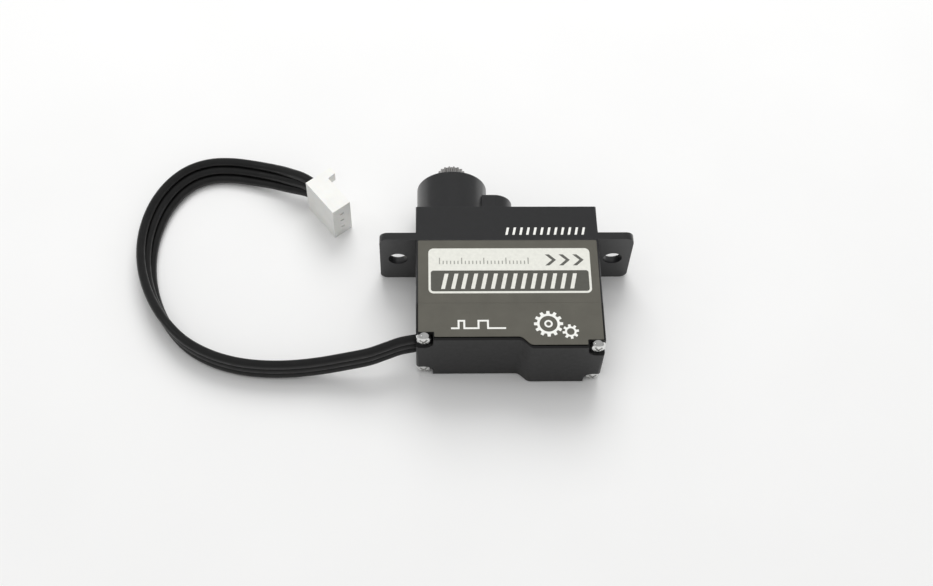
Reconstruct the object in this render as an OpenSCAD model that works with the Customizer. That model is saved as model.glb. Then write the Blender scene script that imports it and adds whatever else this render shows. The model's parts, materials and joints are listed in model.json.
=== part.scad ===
// Miniature steering servo with a metal gear train, lying on its broad face.
// X runs across the body, +Y along the output shaft towards its splined tip, +Z up.
// The origin is at the middle of the footprint, on the surface that the servo lies on.

/* [Case] */
// Width of the case across the screws
body_w = 20; // [19.5:0.1:20.5]
// Thickness of the case between its two broad faces
body_t = 8; // [8:0.1:8.4]
// Height of the top case, from the gear deck seam to its end face
top_case_len = 4.3; // [4.3:0.05:4.6]
// Length of the middle case
middle_case_len = 8; // [7.8:0.1:8.2]
// Length of the bottom case beside the cable
bottom_case_len = 4.4; // [4.3:0.1:4.6]
// How much further the bottom case stands out under the motor
motor_bulge = 1; // [0.9:0.05:1.2]
// Thickness of the side walls
wall = 0.55; // [0.5:0.05:0.6]

/* [Mounting tabs] */
// Length of each tab beyond the case
tab_len = 4; // [3.8:0.1:4.5]
// Thickness of the tabs
tab_t = 0.9; // [0.8:0.1:1.2]
// Distance between the two tab holes
tab_hole_spacing = 24; // [23.8:0.1:24.2]
// Diameter of the tab holes
tab_hole_d = 2.1; // [2:0.1:2.2]

/* [Output] */
// Outer radius of the round boss around the output shaft
boss_r = 3.95; // [3.7:0.05:3.95]
// Height of the boss above the top case
boss_len = 4.9; // [4.8:0.1:5.2]
// Length of the splined tip beyond the boss
spline_len = 2.3; // [2:0.1:2.6]
// Radius over the spline teeth
spline_r = 1.58; // [1.5:0.01:1.58]
// Number of spline teeth
spline_teeth = 18; // [15:1:21]
// Radius of the horn screw's threaded hole
horn_screw_r = 0.8; // [0.75:0.05:0.85]
// Depth of the horn screw's threaded hole
horn_screw_depth = 4; // [3:0.5:4.5]

/* [Gear train] */
// Share of each tooth's thickness given up as play between meshing teeth
backlash = 0.05; // [0.04:0.01:0.12]
// Face width of the output gear
output_face = 1.7; // [1.4:0.1:1.7]

/* [Cable] */
// Diameter of each of the three wires of the flat cable
wire_d = 1; // [0.9:0.05:1]
// Length of the plug's housing
plug_len = 5.2; // [5:0.1:5.6]
// Thickness of the plug's housing
plug_t = 2.4; // [2.3:0.1:2.6]
// Height of the plug's housing, across its three contacts
plug_h = 5.2; // [5:0.1:5.4]

/* [Hidden] */
$fn = 48;

// Stations along the shaft direction
mid_z = body_t / 2;
total_len = bottom_case_len + motor_bulge + middle_case_len + top_case_len + boss_len + spline_len;
y_near = -total_len / 2;
y_near_left = y_near + motor_bulge;
y_joint = y_near_left + bottom_case_len;
y_seam = y_joint + middle_case_len;
y_top = y_seam + top_case_len;
y_boss = y_top + boss_len;
y_tip = y_boss + spline_len;
half_w = body_w / 2;
edge_r = 0.2;
tab_r = 0.9;

// The case's own walls
deck_t = 0.8;
y_deck = y_seam - deck_t;
top_wall = 0.6;
y_roof = y_top - top_wall;
end_wall = 0.75;
y_floor_left = y_near_left + end_wall;
y_floor_right = y_near + end_wall;

// The diagonal step of the bottom case, which clears the motor
step_x0 = 1.1;
step_x1 = 2.15;

// Case screws
screw_inset = 0.85;
screw_x = half_w - screw_inset;
screw_z = [screw_inset, body_t - screw_inset];
screw_r = 0.5;
screw_hole_r = 0.56;
screw_head_r = 0.85;
screw_head_h = 0.8;
screw_depth_in_top = 2.6;
pillar_r = 0.8;
notch_r = 0.98;
notch_depth = 0.9;

// Sticker on the upper broad face
label_side = half_w - 0.24;
label_cut = screw_x - notch_r - 0.1;
label_proud = 0.03;
label_t = 0.1;

// Module of the motor stage and of the other four, and the teeth of each wheel and pinion
motor_stage_module = 0.15;
gear_module = 0.2;
wheel_teeth = 31;
pinion_teeth = 16;
second_wheel_teeth = 28;
first_pinion_teeth = 9;
first_wheel_teeth = 37;
motor_pinion_teeth = 9;

// Shaft axes, all in the middle plane of the case
output_x = -5.9;
centre_distance = gear_module * (wheel_teeth + pinion_teeth) / 2;
second_x = output_x + centre_distance;
first_x = second_x + gear_module * (second_wheel_teeth + first_pinion_teeth) / 2;
motor_x = first_x + motor_stage_module * (first_wheel_teeth + motor_pinion_teeth) / 2;

// Tooth form, as multiples of the module
pressure_angle = 25;
addendum = 0.8;
dedendum = 1;
flank_steps = 4;

// The five planes of the gear train: where each begins and how wide its teeth are
plane_gap = 0.1;
thin_face = 0.6;
y_plane1 = y_seam + 0.15;
y_plane2 = y_plane1 + thin_face + plane_gap;
y_plane3 = y_plane2 + thin_face + plane_gap;
y_plane4 = y_plane3 + thin_face + plane_gap;
fourth_face = 0.7;
y_plane5 = y_plane4 + fourth_face + plane_gap;
y_output_end = y_plane5 + output_face;
gear_room = 0.15;
wheel_tip_r = gear_module * (wheel_teeth / 2 + addendum);
pinion_tip_r = gear_module * (pinion_teeth / 2 + addendum);
y_gear_roof = y_output_end + gear_room;

// Axles and running fits
running_gap = 0.03;
first_axle_r = 0.3;
second_axle_r = 0.4;
journal_r = 0.75;
axle_seat = 0.7;
bush_r = 1.4;
bump_r = 2.1;
bump_len = 3;
y_second_axle_end = y_gear_roof + 1.8;

// Ball bearing in the boss, 3.175 x 6.35 x 2.38
bearing_bore_r = 1.5875;
bearing_r = 3.175;
bearing_w = 2.38;
boss_lip = 0.47;
boss_lip_r = 2.6;
y_bearing = y_boss - boss_lip - bearing_w;
ball_r = 0.42;
ball_pitch_r = 2.36;
ball_count = 9;
ring_t = 0.46;
groove_r = 0.45;

// Coreless motor
motor_r = 3.3;
can_wall = 0.2;
can_len = 10;
y_can_back = y_deck - can_len;
motor_shaft_r = 0.4;
nose_r = 0.95;
magnet_r = 1.8;
coil_r_in = 2.1;
coil_r_out = 2.75;
cap_t = 0.7;

// Feedback potentiometer under the output shaft
pot_r = 3.1;
pot_len = 3.1;
pot_wall = 0.35;
y_pot_back = y_deck - pot_len;
y_track = y_pot_back + pot_wall;
track_t = 0.12;
wiper_r = 0.55;
y_carrier = y_track + track_t + 0.35;
carrier_t = 0.6;
y_shaft_bottom = y_carrier - 0.15;
pot_pin_pitch = 1.8;

// Circuit board and what is on it
board_t = 0.6;
y_board = y_pot_back - 1.5;
board_x0 = -9.2;
board_x1 = 2.2;
board_edge = 0.75;
wire_r = 0.2;

// Cable: where it leaves the case and the loop that it lies in
cable_w = 3 * wire_d;
exit_y = -9.7;
slot_gap = 0.25;
grommet_t = wire_d + 2 * slot_gap;
grommet_h = cable_w + 2 * slot_gap;
grommet_x = -half_w + 0.9;
cable_route = [[-10, -9.7, 4], [-11.7, -10, 3.9], [-13.4, -10.5, 3.6], [-15.2, -10.95, 3.2],
    [-17.8, -11.2, 2.6], [-20.6, -11.4, 2], [-23.6, -11.55, 1.7], [-26.7, -11.45, 1.56],
    [-29.6, -11, 1.53], [-32.5, -10, 1.53], [-35.2, -8.3, 1.53], [-37.5, -5.7, 1.52],
    [-39.1, -2.8, 1.51], [-40.1, 0.3, 1.46], [-40.5, 3.5, 1.41], [-40.3, 6.6, 1.35],
    [-39.5, 9.6, 1.3], [-38.1, 12.15, 1.26], [-36.3, 13.9, 1.24], [-34.1, 14.8, 1.24],
    [-31.6, 14.9, 1.26], [-29, 14.4, 1.42], [-26.6, 13.6, 1.85], [-24.7, 12.75, 2.3],
    [-23, 12, 2.6], [-21.6, 11.15, 2.6]];
cable_lean = 50;
cable_fan = 0.3;
route_last = len(cable_route) - 1;
rings_per_span = 2;
plug_rear = cable_route[route_last];
plug_heading = -52;
ear_len = 0.95;
ear_h = 1.3;
ear_proud = 1.1;
rib_proud = 0.3;
contact_pitch = 1.25;
contact_bore = 0.55;

// ---- helpers ----

// Puts an upright shape, drawn from z = 0, along +Y from the station y at the place x, z
module along_y(x, y, z = mid_z) {
    translate([x, y, z])
        rotate([-90, 0, 0])
            children();
}

// A rod along +Y
module rod(x, y, r, length, z = mid_z) {
    along_y(x, y, z)
        cylinder(r = r, h = length);
}

// A tube along +Y
module tube(x, y, r_out, r_in, length, z = mid_z) {
    along_y(x, y, z)
        linear_extrude(length)
            difference() {
                circle(r_out);
                circle(r_in);
            }
}

// A box given by its two opposite corners
module span_box(low, high) {
    translate(low)
        cube(high - low);
}

// A flat rectangle with round corners, w wide and t high, standing on its lower edge
module rounded_plate(w, t, r) {
    translate([-w / 2 + r, 0])
        square([w - 2 * r, t]);
    translate([-w / 2, r])
        square([w, t - 2 * r]);
    for (x = [-w / 2 + r, w / 2 - r], y = [r, t - r])
        translate([x, y])
            circle(r);
}

// A bar along +Y whose section is a rounded rectangle standing on z = 0
module case_bar(y0, y1, w, t, r) {
    translate([0, y1, 0])
        rotate([90, 0, 0])
            linear_extrude(y1 - y0)
                rounded_plate(w, t, r);
}

// Calls its children at the four case screws
module at_screws() {
    for (side = [-1, 1], z = screw_z)
        translate([side * screw_x, 0, z])
            children();
}

// Station of the floor that a screw head sits on, on either side of the step
function head_seat(side) = (side < 0 ? y_near_left : y_near) + notch_depth;

// Involute gear tooth, by the usual relations between angle and radius
function involute(a) = tan(a) * 180 / PI - a;
function angle_at(rb, r) = acos(min(1, rb / r));
function half_tooth(n, rb, r) =
    90 / n * (1 - backlash) + involute(pressure_angle) - involute(angle_at(rb, r));
function polar(r, a) = [r * cos(a), r * sin(a)];
function flank(n, m) =
    let (rp = n * m / 2, rb = rp * cos(pressure_angle), tip = rp + addendum * m, root = rp - dedendum * m)
    let (start = max(rb, root))
    concat(root < rb ? [[root, half_tooth(n, rb, rb)]] : [],
        [for (i = [0 : flank_steps])
            let (r = start + (tip - start) * i / flank_steps)
            [r, half_tooth(n, rb, r)]]);
function gear_points(n, m) =
    let (side = flank(n, m), last = len(side) - 1)
    [for (k = [0 : n - 1], i = [0 : 2 * last + 1])
        let (p = i <= last ? side[i] : side[2 * last + 1 - i])
        let (a = i <= last ? -p[1] : p[1])
        polar(p[0], 360 * k / n + a)];

// A toothed wheel along +Y with its first tooth turned by phase
module gear(x, y, n, m, length, phase = 0) {
    along_y(x, y)
        rotate([0, 0, phase])
            linear_extrude(length)
                polygon(gear_points(n, m));
}

// A round wire swept through a few points, for leads inside the case
module bent_wire(points, r) {
    sides = 8;
    n = len(points);
    dirs = [for (i = [0 : n - 1]) unit(points[min(i + 1, n - 1)] - points[max(i - 1, 0)])];
    rings = [for (i = [0 : n - 1])
        let (u = unit(cross(dirs[i], abs(dirs[i][2]) > 0.9 ? [1, 0, 0] : [0, 0, 1])), v = cross(dirs[i], u))
        [for (k = [0 : sides - 1]) points[i] + r * (cos(360 * k / sides) * u + sin(360 * k / sides) * v)]];
    ring_skin(rings, sides);
}

// Closed skin over a list of rings of equal length
module ring_skin(rings, sides) {
    n = len(rings);
    polyhedron(
        points = [for (ring = rings) for (p = ring) p],
        faces = concat(
            [[for (k = [0 : sides - 1]) k]],
            [[for (k = [sides - 1 : -1 : 0]) (n - 1) * sides + k]],
            [for (i = [0 : n - 2], k = [0 : sides - 1])
                let (a = i * sides + k, b = i * sides + (k + 1) % sides)
                [a, a + sides, b + sides, b]]));
}
function unit(v) = v / norm(v);

// Catmull-Rom point at t between p1 and p2
function spline_point(p0, p1, p2, p3, t) =
    0.5 * (2 * p1 + (p2 - p0) * t + (2 * p0 - 5 * p1 + 4 * p2 - p3) * t * t
        + (3 * p1 - p0 - 3 * p2 + p3) * t * t * t);
function route_point(s) =
    let (i = min(floor(s), route_last - 1))
    spline_point(cable_route[max(i - 1, 0)], cable_route[i], cable_route[i + 1],
        cable_route[min(i + 2, route_last)], s - i);

// Direction of the cable at s, square to the exit and to the turned plug at its two ends
function route_ahead(s) =
    s <= 0 ? [-1, 0, 0] :
    s >= route_last ? [cos(plug_heading), sin(plug_heading), 0] :
    unit(route_point(s + 0.1) - route_point(s - 0.1));

// Rises from 0 at a to 1 at b, easing in and out
function eased(a, b, x) =
    let (t = min(1, max(0, (x - a) / (b - a))))
    t * t * (3 - 2 * t);

// Lean and widening of the cable at a share of its length: it leans on the far side of its loop
function lean_at(share) = cable_lean * eased(0.36, 0.68, share) * (1 - eased(0.82, 1, share));
function fan_at(share) = 1 + cable_fan * eased(0.86, 1, share);

// ---- case ----

module top_case() {
    color("#2b2b2b")
    difference() {
        union() {
            case_bar(y_seam, y_top, body_w, body_t, edge_r);
            case_bar(y_seam, y_seam + tab_t, body_w + 2 * tab_len, body_t, tab_r);
            rod(output_x, y_top, boss_r, boss_len);
            rod(second_x, y_top, bump_r, bump_len);
            span_box([output_x, y_top, mid_z - bump_r], [second_x, y_top + bump_len, mid_z + bump_r]);
        }
        difference() {
            case_bar(y_seam - 1, y_roof, body_w - 2 * wall, body_t, 0.01);
            span_box([-half_w, y_seam - 1, -1], [half_w, y_top, wall]);
            span_box([-half_w, y_seam - 1, body_t - wall], [half_w, y_top, body_t + 1]);
            at_screws()
                along_y(0, y_seam - 2, 0)
                    cylinder(r = pillar_r, h = top_case_len + 2);
        }
        rod(output_x, y_roof - 1, wheel_tip_r + gear_room, y_gear_roof - y_roof + 1);
        rod(second_x, y_roof - 1, pinion_tip_r + 0.1, y_gear_roof - y_roof + 1);
        rod(output_x, y_gear_roof - 0.1, bearing_r, y_boss - boss_lip - y_gear_roof + 0.1);
        rod(output_x, y_boss - 1, boss_lip_r, 2);
        rod(first_x, y_roof - 1, first_axle_r, 1.4);
        rod(second_x, y_gear_roof - 1, second_axle_r, y_second_axle_end - y_gear_roof + 1);
        at_screws()
            along_y(0, y_seam - 1, 0)
                cylinder(r = screw_r, h = screw_depth_in_top + 1);
        for (side = [-1, 1])
            rod(side * tab_hole_spacing / 2, y_seam - 1, tab_hole_d / 2, tab_t + 2);
    }
}

module middle_case() {
    color("#232323")
    difference() {
        case_bar(y_joint, y_seam, body_w, body_t, edge_r);
        difference() {
            span_box([-half_w + wall, y_joint - 1, wall], [half_w - wall, y_deck, body_t - wall]);
            at_screws()
                along_y(0, y_joint - 2, 0)
                    cylinder(r = pillar_r, h = middle_case_len + 2);
        }
        at_screws()
            along_y(0, y_joint - 1, 0)
                cylinder(r = screw_hole_r, h = middle_case_len + 2);
        rod(output_x, y_deck - 1, bush_r, deck_t + 2);
        rod(motor_x, y_deck - 1, nose_r, deck_t + 2);
        rod(first_x, y_seam - axle_seat, first_axle_r, deck_t);
        rod(second_x, y_seam - axle_seat, second_axle_r, deck_t);
        label_sheet(0.02);
    }
}

// The bottom case's outline, with the step that clears the motor
module bottom_outline(inset, y_end, y_left, y_right) {
    polygon([[-half_w + inset, y_end], [-half_w + inset, y_left], [step_x0, y_left],
        [step_x1, y_right], [half_w - inset, y_right], [half_w - inset, y_end]]);
}

// Room for one screw head, open to the side, to the broad face and to the end
module head_notch(side, z_side) {
    y0 = head_seat(side) - notch_depth - 1;
    length = notch_depth + 1;
    reach = 3;
    x = side < 0 ? [-reach, 0] : [0, reach];
    z = z_side < 0 ? [-reach, 0] : [0, reach];
    along_y(0, y0, 0)
        cylinder(r = notch_r, h = length);
    span_box([x[0], y0, -notch_r], [x[1], y0 + length, notch_r]);
    span_box([-notch_r, y0, z[0]], [notch_r, y0 + length, z[1]]);
    span_box([x[0], y0, z[0]], [x[1], y0 + length, z[1]]);
}

module bottom_case() {
    color("#262525")
    difference() {
        intersection() {
            case_bar(y_near - 1, y_joint, body_w, body_t, edge_r);
            linear_extrude(body_t)
                bottom_outline(0, y_joint, y_near_left, y_near);
        }
        difference() {
            translate([0, 0, wall])
                linear_extrude(body_t - 2 * wall)
                    bottom_outline(wall, y_joint + 1, y_floor_left, y_floor_right);
            for (side = [-1, 1], z = screw_z)
                rod(side * screw_x, y_near, pillar_r, total_len / 2, z);
            for (side = [-1, 1], z = screw_z)
                rod(side * screw_x, y_near, notch_r + 0.4, head_seat(side) - y_near + 0.5, z);
        }
        for (side = [-1, 1], z = screw_z) {
            rod(side * screw_x, y_near - 1, screw_hole_r, total_len / 2, z);
            translate([side * screw_x, 0, z])
                head_notch(side, z < mid_z ? -1 : 1);
        }
        span_box([-half_w - 1, exit_y - grommet_t / 2, mid_z - grommet_h / 2],
            [-half_w + 1, exit_y + grommet_t / 2, mid_z + grommet_h / 2]);
        label_sheet(0.02);
    }
}

// The sticker's outline, cut back round the screw heads; grow widens it for the recess
module label_sheet(grow) {
    y_far = y_seam - 0.12;
    left_cut = head_seat(-1) + 0.05;
    right_cut = head_seat(1) + 0.05;
    left_edge = y_near_left + 0.35;
    right_edge = y_near + 0.35;
    translate([0, 0, body_t + label_proud - label_t])
        linear_extrude(label_t + grow)
            polygon([[-label_side - grow, y_far + grow], [-label_side - grow, left_cut - grow],
                [-label_cut - grow, left_cut - grow], [-label_cut - grow, left_edge - grow],
                [step_x0, left_edge - grow], [step_x1 - 0.05, right_edge - grow],
                [label_cut + grow, right_edge - grow], [label_cut + grow, right_cut - grow],
                [label_side + grow, right_cut - grow], [label_side + grow, y_far + grow]]);
}

module label() {
    color("#6b6b64")
        label_sheet(0);
}

// Pan-head case screws with a cross recess, driven from the bottom case into the top case
module case_screws() {
    color("#d8d8d8")
    for (side = [-1, 1], z = screw_z)
        translate([side * screw_x, 0, z])
            difference() {
                union() {
                    rod(0, head_seat(side) - screw_head_h, screw_head_r, screw_head_h, 0);
                    rod(0, head_seat(side), screw_r, y_seam + screw_depth_in_top - head_seat(side), 0);
                }
                for (turn = [0, 90])
                    rotate([0, turn + 45, 0])
                        translate([-0.5, head_seat(side) - screw_head_h - 0.1, -0.1])
                            cube([1, 0.4, 0.2]);
            }
}

// ---- output shaft and its bearings ----

module output_shaft() {
    color("#c9c9cc")
    difference() {
        union() {
            gear(output_x, y_plane5, wheel_teeth, gear_module, output_face);
            rod(output_x, y_output_end - 0.1, 1.9, y_bearing - y_output_end + 0.1);
            rod(output_x, y_bearing, bearing_bore_r, bearing_w + 0.3);
            rod(output_x, y_bearing + bearing_w, 1.5, y_boss - y_bearing - bearing_w);
            spline_bar();
            rod(output_x, y_carrier + carrier_t, journal_r, y_plane5 - y_carrier - carrier_t);
            d_end(wiper_r);
        }
        rod(output_x, y_tip - horn_screw_depth, horn_screw_r, horn_screw_depth + 1);
    }
}

// The splined tip, with straight flanks
module spline_bar() {
    root = spline_r - 0.17;
    pitch = 360 / spline_teeth;
    along_y(output_x, y_boss)
        linear_extrude(spline_len)
            polygon([for (k = [0 : spline_teeth - 1], p = [[root, -0.33], [spline_r, -0.12],
                [spline_r, 0.12], [root, 0.33]]) polar(p[0], (k + p[1]) * pitch)]);
}

// The shaft's lower end, with the flat that turns the wiper
module d_end(r) {
    difference() {
        rod(output_x, y_shaft_bottom, r, y_carrier + carrier_t - y_shaft_bottom + 0.1);
        span_box([output_x + r * 0.6, y_shaft_bottom - 1, 0], [output_x + 2, y_carrier + carrier_t, body_t]);
    }
}

// One ring of the ball bearing, with the groove that the balls run in
module bearing_ring(r_in, r_out) {
    along_y(output_x, y_bearing)
        difference() {
            cylinder(r = r_out, h = bearing_w);
            translate([0, 0, -1])
                cylinder(r = r_in, h = bearing_w + 2);
            translate([0, 0, bearing_w / 2])
                rotate_extrude()
                    translate([ball_pitch_r, 0])
                        circle(groove_r);
        }
}

module bearing_outer_ring() {
    color("#b9bcc0")
        bearing_ring(bearing_r - ring_t, bearing_r);
}

module bearing_inner_ring() {
    color("#b9bcc0")
        bearing_ring(bearing_bore_r, bearing_bore_r + ring_t);
}

// Calls its children at each ball
module at_balls() {
    for (k = [0 : ball_count - 1])
        along_y(output_x, y_bearing + bearing_w / 2)
            rotate([0, 0, 360 * k / ball_count])
                translate([ball_pitch_r, 0, 0])
                    children();
}

module bearing_balls() {
    color("#e6e6e6")
        at_balls()
            sphere(ball_r);
}

module bearing_cage() {
    cage_r = 0.16;
    color("#a58a55")
    difference() {
        tube(output_x, y_bearing + bearing_w / 2 - 0.5, ball_pitch_r + cage_r, ball_pitch_r - cage_r, 1);
        at_balls()
            rotate([0, 90, 0])
                cylinder(r = ball_r + running_gap, h = 1, center = true);
    }
}

module lower_bush() {
    color("#b0803c")
        tube(output_x, y_deck, bush_r, journal_r + running_gap, deck_t);
}

module output_spacer() {
    color("#c2a457")
        tube(output_x, y_seam, 1.2, journal_r + running_gap, y_plane3 - y_seam - 0.05);
}

// ---- gear train ----

// A wheel with the pinion that it drives, running on an axle
module double_gear(x, y, wheel_n, wheel_m, face, pinion_n, pinion_m, pinion_y1, bore_r, pinion_phase = 0) {
    difference() {
        union() {
            gear(x, y, wheel_n, wheel_m, face);
            gear(x, y + face / 2, pinion_n, pinion_m, pinion_y1 - y - face / 2, pinion_phase);
        }
        rod(x, y - 1, bore_r, pinion_y1 - y + 2);
    }
}

module first_gear() {
    color("#c7a552")
        double_gear(first_x, y_plane1, first_wheel_teeth, motor_stage_module, thin_face,
            first_pinion_teeth, gear_module, y_plane2 + thin_face, first_axle_r + running_gap);
}

module second_gear() {
    color("#b5b5b8")
        double_gear(second_x, y_plane2, second_wheel_teeth, gear_module, thin_face,
            pinion_teeth, gear_module, y_plane3 + thin_face, second_axle_r + running_gap, 180 / pinion_teeth);
}

module third_gear() {
    color("#b5b5b8")
        double_gear(output_x, y_plane3, wheel_teeth, gear_module, thin_face,
            pinion_teeth, gear_module, y_plane4 + fourth_face, journal_r + running_gap);
}

module fourth_gear() {
    color("#b5b5b8")
        double_gear(second_x, y_plane4, wheel_teeth, gear_module, fourth_face,
            pinion_teeth, gear_module, y_output_end, second_axle_r + running_gap, 180 / pinion_teeth);
}

module first_axle() {
    color("#dcdcdc")
        rod(first_x, y_seam - axle_seat, first_axle_r, y_roof + 0.4 - y_seam + axle_seat);
}

module second_axle() {
    color("#dcdcdc")
        rod(second_x, y_seam - axle_seat, second_axle_r, y_second_axle_end - y_seam + axle_seat);
}

module first_axle_washer() {
    color("#d9c27a")
        tube(first_x, y_seam, 0.7, first_axle_r, 0.12);
}

module second_axle_spacer() {
    color("#d9c27a")
        tube(second_x, y_seam, 0.7, second_axle_r, y_plane2 - y_seam - 0.05);
}

// ---- motor ----

module motor_pinion() {
    color("#c7a552")
    difference() {
        gear(motor_x, y_plane1, motor_pinion_teeth, motor_stage_module, thin_face);
        rod(motor_x, y_plane1 - 1, motor_shaft_r, thin_face + 2);
    }
}

module motor_shaft() {
    y0 = y_can_back - cap_t + 0.2;
    color("#e0e0e0")
        rod(motor_x, y0, motor_shaft_r, y_plane1 + thin_face - y0);
}

// Self-supporting winding cup on a hub at its rear
module motor_coil() {
    hub_y = y_can_back + 1.3;
    color("#a85a2a")
    union() {
        tube(motor_x, hub_y, coil_r_out, coil_r_in, can_len - 2.6);
        tube(motor_x, hub_y, coil_r_in + 0.1, motor_shaft_r, 0.5);
    }
}

module motor_commutator() {
    color("#c98b4a")
        tube(motor_x, y_can_back + 0.2, 0.75, motor_shaft_r, 1);
}

module motor_can() {
    color("#c4c4c6")
    difference() {
        union() {
            rod(motor_x, y_can_back, motor_r, can_len);
            rod(motor_x, y_deck - 0.1, nose_r, 0.6);
        }
        rod(motor_x, y_can_back - 1, motor_r - can_wall, can_len + 1 - 0.4);
        rod(motor_x, y_deck - 1, 0.7, 3);
    }
}

// Fixed magnet inside the winding, on the tube that holds the front bush
module motor_magnet() {
    color("#5a5a5e")
        tube(motor_x, y_can_back + 2.2, magnet_r, motor_shaft_r + 0.1, can_len - 2.6);
}

module motor_bush() {
    color("#b0803c")
        tube(motor_x, y_deck - 0.4, 0.7, motor_shaft_r + running_gap, 0.8);
}

module motor_end_cap() {
    color("#1f1f22")
    difference() {
        union() {
            rod(motor_x, y_can_back - cap_t, motor_r - 0.1, cap_t);
            rod(motor_x, y_can_back, motor_r - can_wall, 0.15);
        }
        rod(motor_x, y_can_back - cap_t + 0.15, motor_shaft_r + running_gap, 2);
    }
}

module motor_brushes() {
    color("#d7b46a")
    for (side = [-1, 1])
        span_box([motor_x + side * 0.93 - 0.15, y_can_back + 0.15, mid_z - 0.9],
            [motor_x + side * 0.93 + 0.15, y_can_back + 1, mid_z + 0.9]);
}

module motor_terminals() {
    color("#d7b46a")
    for (side = [-1, 1])
        span_box([motor_x + side * 1.6 - 0.4, y_can_back - cap_t - 0.45, mid_z - 0.15],
            [motor_x + side * 1.6 + 0.4, y_can_back - cap_t, mid_z + 0.15]);
}

// ---- potentiometer ----

module pot_housing() {
    color("#2f5d8a")
    difference() {
        rod(output_x, y_pot_back, pot_r, pot_len);
        rod(output_x, y_track, pot_r - pot_wall, pot_len);
        for (k = [-1 : 1])
            rod(output_x, y_pot_back - 1, 0.2, 3, mid_z + k * pot_pin_pitch);
    }
}

module pot_track() {
    color("#3a3a3a")
    difference() {
        tube(output_x, y_track, 2.6, 1.1, track_t);
        for (k = [-1 : 1])
            rod(output_x, y_track - 1, 0.2, 2, mid_z + k * pot_pin_pitch);
    }
}

module wiper_carrier() {
    color("#e8e4d8")
    difference() {
        rod(output_x, y_carrier, 2.2, carrier_t);
        d_end(wiper_r);
    }
}

// Sprung finger that runs on the track
module wiper_contact() {
    color("#d7b46a")
    union() {
        span_box([output_x - 2, y_carrier - 0.12, mid_z - 0.4], [output_x - 0.9, y_carrier, mid_z + 0.4]);
        span_box([output_x - 2, y_track + track_t + running_gap, mid_z - 0.4],
            [output_x - 1.85, y_carrier, mid_z + 0.4]);
    }
}

module pot_terminals() {
    color("#d7b46a")
    for (k = [-1 : 1])
        rod(output_x, y_board - 0.25, 0.2, y_track - y_board + 0.35, mid_z + k * pot_pin_pitch);
}

// ---- electronics ----

module circuit_board() {
    color("#1f6b3a")
    difference() {
        span_box([board_x0, y_board, board_edge], [board_x1, y_board + board_t, body_t - board_edge]);
        for (z = screw_z)
            rod(-screw_x, y_board - 1, pillar_r + 0.15, board_t + 2, z);
        for (k = [-1 : 1])
            rod(output_x, y_board - 1, 0.2, board_t + 2, mid_z + k * pot_pin_pitch);
    }
}

// A part soldered to the board's far side, w along X and h along Z
module board_chip(x, z, w, h, t) {
    span_box([x - w / 2, y_board - t, z - h / 2], [x + w / 2, y_board, z + h / 2]);
}

module control_chip() {
    color("#1a1a1a")
        board_chip(-3.4, mid_z, 3, 3, 0.8);
}

module driver_chips() {
    color("#1a1a1a")
    for (z = [2.4, 5.6])
        board_chip(-0.5, z, 1.6, 2.2, 0.7);
}

module capacitors() {
    color("#b89b6a")
    for (z = [1.5, 6.5])
        board_chip(-3.4, z, 1.6, 0.8, 0.8);
}

module resistors() {
    color("#3b3b3b")
    for (z = [3.2, 4, 4.8])
        board_chip(1.1, z, 0.6, 0.35, 0.3);
}

// Two leads from the board round to the motor's terminals
module motor_wires() {
    y_end = y_can_back - cap_t - 0.25;
    color("#a03030")
    for (side = [-1, 1])
        bent_wire([[1.4, y_board, mid_z + side * 1.9], [1.4, y_board - 2, mid_z + side * 1.9],
            [1.5, y_end + 1.7, mid_z + side * 1.8], [2, y_end + 0.6, mid_z + side * 1.6],
            [2.9, y_end, mid_z + side * 1.2],
            [motor_x + side * 1.6 - 0.4, y_end, mid_z + side * 0.35]], wire_r);
}

// The cable's three leads between the grommet and the board
module inner_leads() {
    color("#181818")
    for (k = [-1 : 1])
        bent_wire([[grommet_x, exit_y, mid_z + k * wire_d], [-8.3, exit_y, mid_z + k * wire_d],
            [-7.5, exit_y + 0.7, mid_z + k * wire_d], [-7.2, exit_y + 1.7, mid_z + k * wire_d],
            [-7.2, y_board, mid_z + k * wire_d]], 0.4);
}

module cable_grommet() {
    color("#101010")
        span_box([-half_w, exit_y - grommet_t / 2, mid_z - grommet_h / 2],
            [grommet_x, exit_y + grommet_t / 2, mid_z + grommet_h / 2]);
}

// ---- cable and plug ----

// Flat three-wire cable standing on its edge, leaning outwards along its loop and fanned at the plug
module cable() {
    sides = 8;
    rings = route_last * rings_per_span;
    outline = [[1.5, 0.2], [1.3, 0.5], [-1.3, 0.5], [-1.5, 0.2], [-1.5, -0.2], [-1.3, -0.5], [1.3, -0.5],
        [1.5, -0.2]] * wire_d;
    color("#161616")
        ring_skin([for (i = [0 : rings])
            let (s = i / rings_per_span, c = route_point(s))
            let (t = route_ahead(s))
            let (across = unit(cross([0, 0, 1], t)), lean = lean_at(i / rings), fan = fan_at(i / rings))
            let (up = cos(lean) * cross(t, across) + sin(lean) * across)
            let (side = cross(up, t))
            [for (p = outline) c + p[0] * fan * up + p[1] * side]], sides);
}

// Draws its children in the plug's own frame: +X towards the open end, z = 0 on the floor
module on_plug() {
    translate([plug_rear[0], plug_rear[1], 0])
        rotate([0, 0, plug_heading])
            children();
}

// Housing with a low keying rib and two ears at its rear that a finger pulls on
module plug_housing() {
    color("#f1f0e8")
    on_plug()
        difference() {
            union() {
                translate([0, -plug_t / 2, 0])
                    cube([plug_len, plug_t, plug_h]);
                translate([0.5, 0, plug_h / 2 - 1])
                    cube([2.8, plug_t / 2 + rib_proud, 2]);
                for (z = [0, plug_h - ear_h])
                    translate([0, 0, z])
                        cube([ear_len, plug_t / 2 + ear_proud, ear_h]);
            }
            for (k = [-1 : 1])
                translate([plug_len - 3.2, -contact_bore, plug_h / 2 + k * contact_pitch - 0.4])
                    cube([4, 2 * contact_bore, 0.8]);
        }
}

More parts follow.
